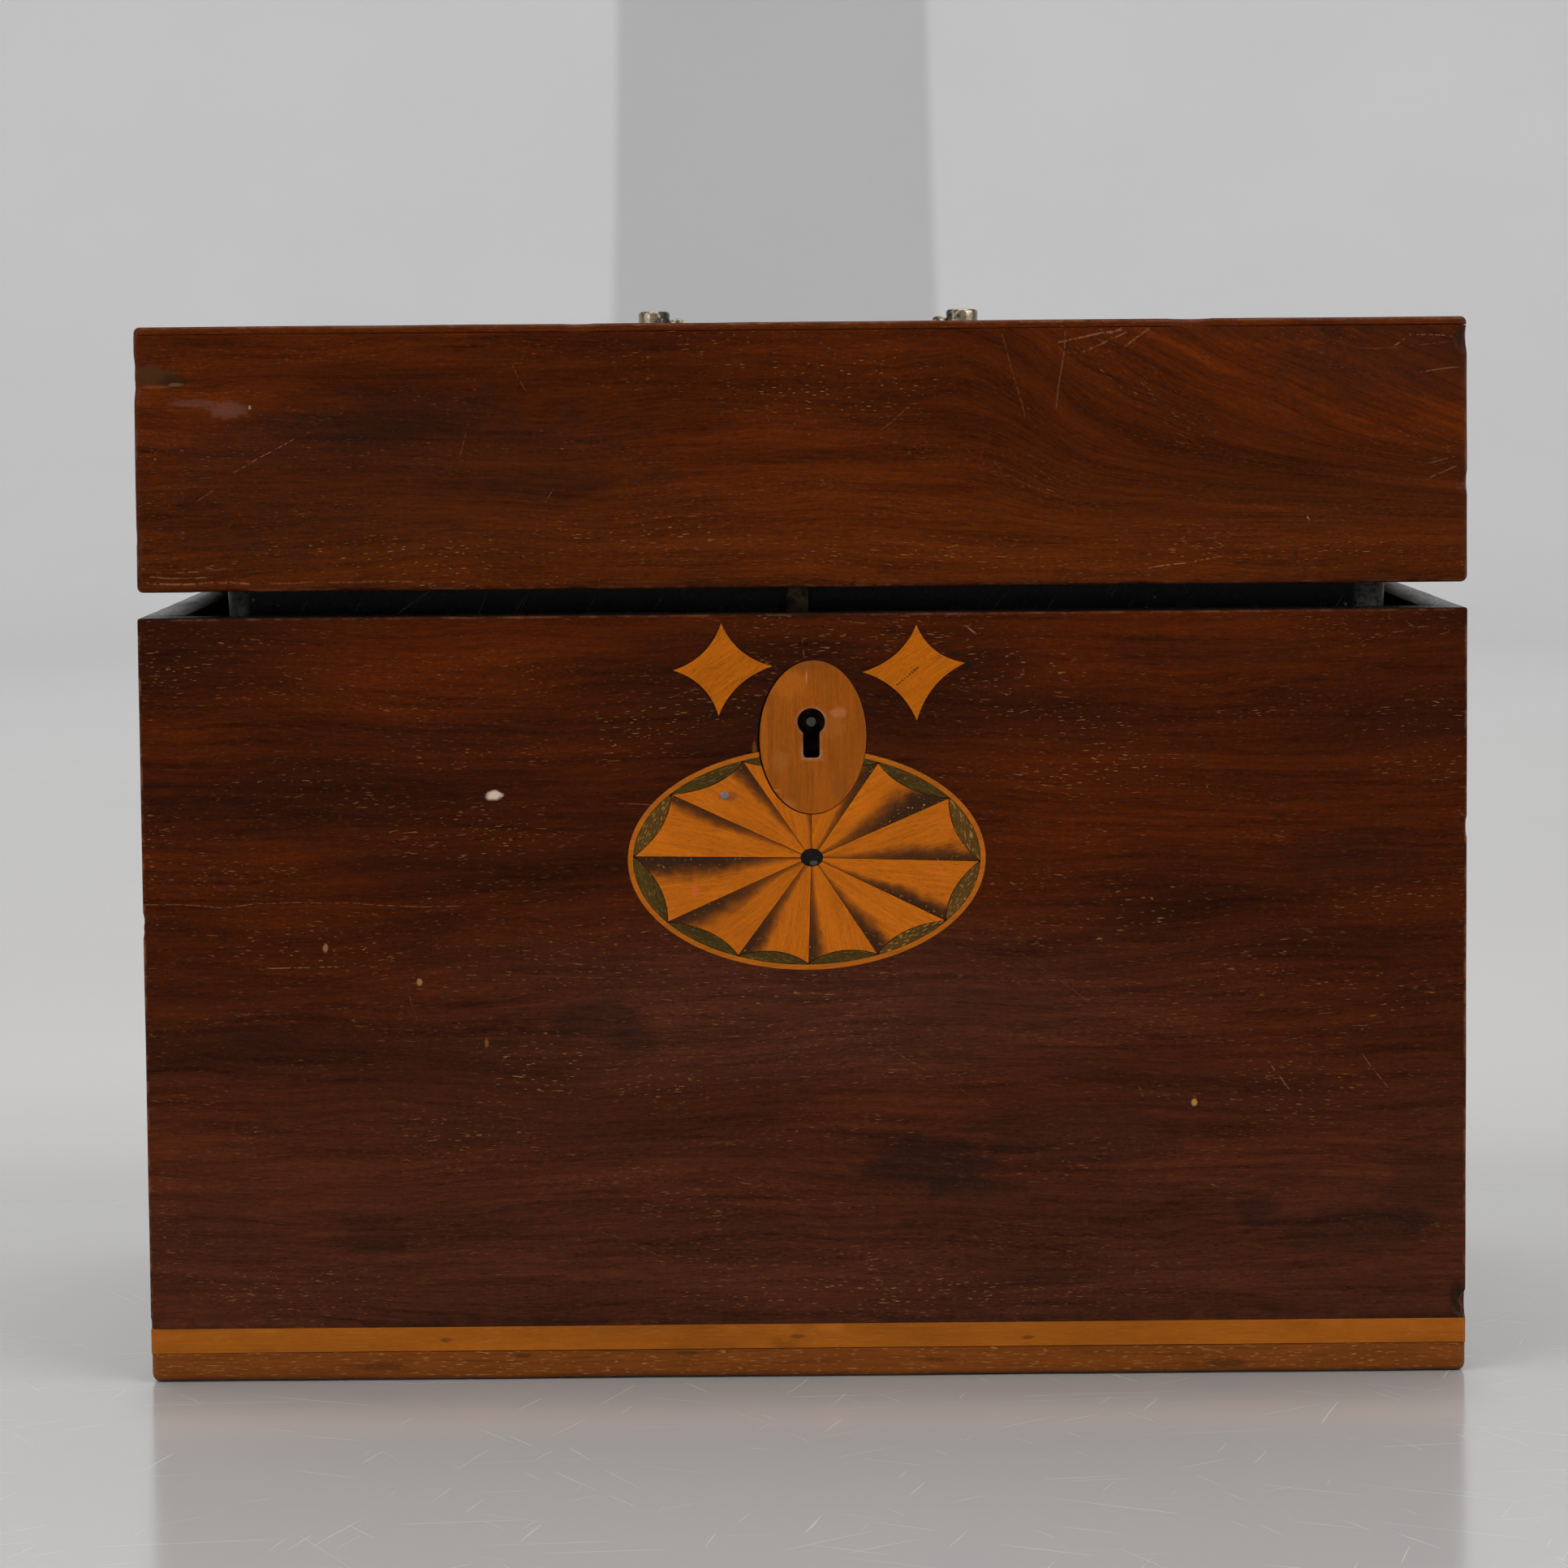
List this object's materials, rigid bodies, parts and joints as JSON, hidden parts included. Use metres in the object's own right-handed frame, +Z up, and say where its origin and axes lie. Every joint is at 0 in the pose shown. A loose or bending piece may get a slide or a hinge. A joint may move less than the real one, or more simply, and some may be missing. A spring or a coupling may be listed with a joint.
{
  "type": "tea caddy",
  "caption": "Rectangular inlaid mahogany tea caddy with hinged lid, box lock, folding bail handle and a two-compartment tin insert with lift-off covers.",
  "frame": {"origin": "centre of the underside of the base board", "axes": "+X along the width, to the right seen from the front; -Y towards the front with the keyhole; +Z up"},
  "size_m": [0.24, 0.1462, 0.1946],
  "materials": {
    "mahogany_case": "old french polish, satin, open pores",
    "mahogany_lid": "old french polish, satin, redder than the case",
    "base_strip": "brown polished strip, worn at the corners",
    "inner_wood": "bare carcass wood, dull and stained",
    "string_wood": "pale straight-grained stringing, satin polish",
    "inlay_wood": "amber satinwood, polished, sand-shaded petals",
    "green_wood": "green-stained veneer, satin polish",
    "brass_fittings": "aged, dull",
    "silvered_brass": "worn silver plate, tarnished",
    "iron": "dark oxidised iron",
    "tin_sheet": "dark scratched sheet metal"
  },
  "bodies": {
    "case": {"front_wall": "mahogany_case", "back_wall": "mahogany_case", "left_wall": "mahogany_case", "right_wall": "mahogany_case", "front_plinth": "base_strip", "back_plinth": "base_strip", "left_plinth": "base_strip", "right_plinth": "base_strip", "base_board": "inner_wood", "left_lining": "inner_wood", "right_lining": "inner_wood", "front_string": "string_wood", "back_string": "string_wood", "left_string": "string_wood", "right_string": "string_wood", "escutcheon": "inlay_wood", "left_lozenge": "inlay_wood", "right_lozenge": "inlay_wood", "patera_ring": "inlay_wood", "patera_fan": "inlay_wood", "patera_ground": "green_wood", "lock_plate": "brass_fittings", "left_hinge_case_leaf": "brass_fittings", "right_hinge_case_leaf": "brass_fittings", "left_hinge_case_screw_1": "brass_fittings", "left_hinge_case_screw_2": "brass_fittings", "right_hinge_case_screw_1": "brass_fittings", "right_hinge_case_screw_2": "brass_fittings", "lock_case": "iron", "drill_pin": "iron", "lock_spring": "iron", "lock_screw_1": "iron", "lock_screw_2": "iron", "left_hinge_pin": "iron", "right_hinge_pin": "iron", "tin_box": "tin_sheet"},
    "lid": {"lid_front": "mahogany_lid", "lid_back": "mahogany_lid", "lid_left": "mahogany_lid", "lid_right": "mahogany_lid", "lid_top": "mahogany_lid", "strike_plate": "brass_fittings", "strike_screw_1": "iron", "strike_screw_2": "iron", "left_post": "silvered_brass", "right_post": "silvered_brass", "left_post_nut": "brass_fittings", "right_post_nut": "brass_fittings", "left_hinge_lid_leaf": "brass_fittings", "right_hinge_lid_leaf": "brass_fittings", "left_hinge_lid_screw_1": "brass_fittings", "left_hinge_lid_screw_2": "brass_fittings", "right_hinge_lid_screw_1": "brass_fittings", "right_hinge_lid_screw_2": "brass_fittings"},
    "bail": {"bail": "silvered_brass"},
    "bolt": {"lock_bolt": "brass_fittings"},
    "left_cover": {"left_cover": "tin_sheet", "left_cover_knob": "brass_fittings"},
    "right_cover": {"right_cover": "tin_sheet", "right_cover_knob": "brass_fittings"}
  },
  "joints": [
    {"name": "lid_hinge", "type": "hinge", "parent": "case", "child": "lid", "pos_m": [0, 0.0733, 0.13985], "axis": [-1, 0, 0], "range_deg": [-1.7, 98.3]},
    {"name": "bail_hinge", "type": "hinge", "parent": "lid", "child": "bail", "pos_m": [0.002, 0.00152, 0.1922], "axis": [1, 0, 0], "range_deg": [0, 180]},
    {"name": "bolt_slide", "type": "slide", "parent": "case", "child": "bolt", "axis": [-1, 0, 0], "range_m": [0, 0.005]},
    {"name": "left_cover_lift", "type": "slide", "parent": "case", "child": "left_cover", "axis": [0, 0, 1], "range_m": [0, 0.015]},
    {"name": "right_cover_lift", "type": "slide", "parent": "case", "child": "right_cover", "axis": [0, 0, 1], "range_m": [0, 0.015]}
  ]
}
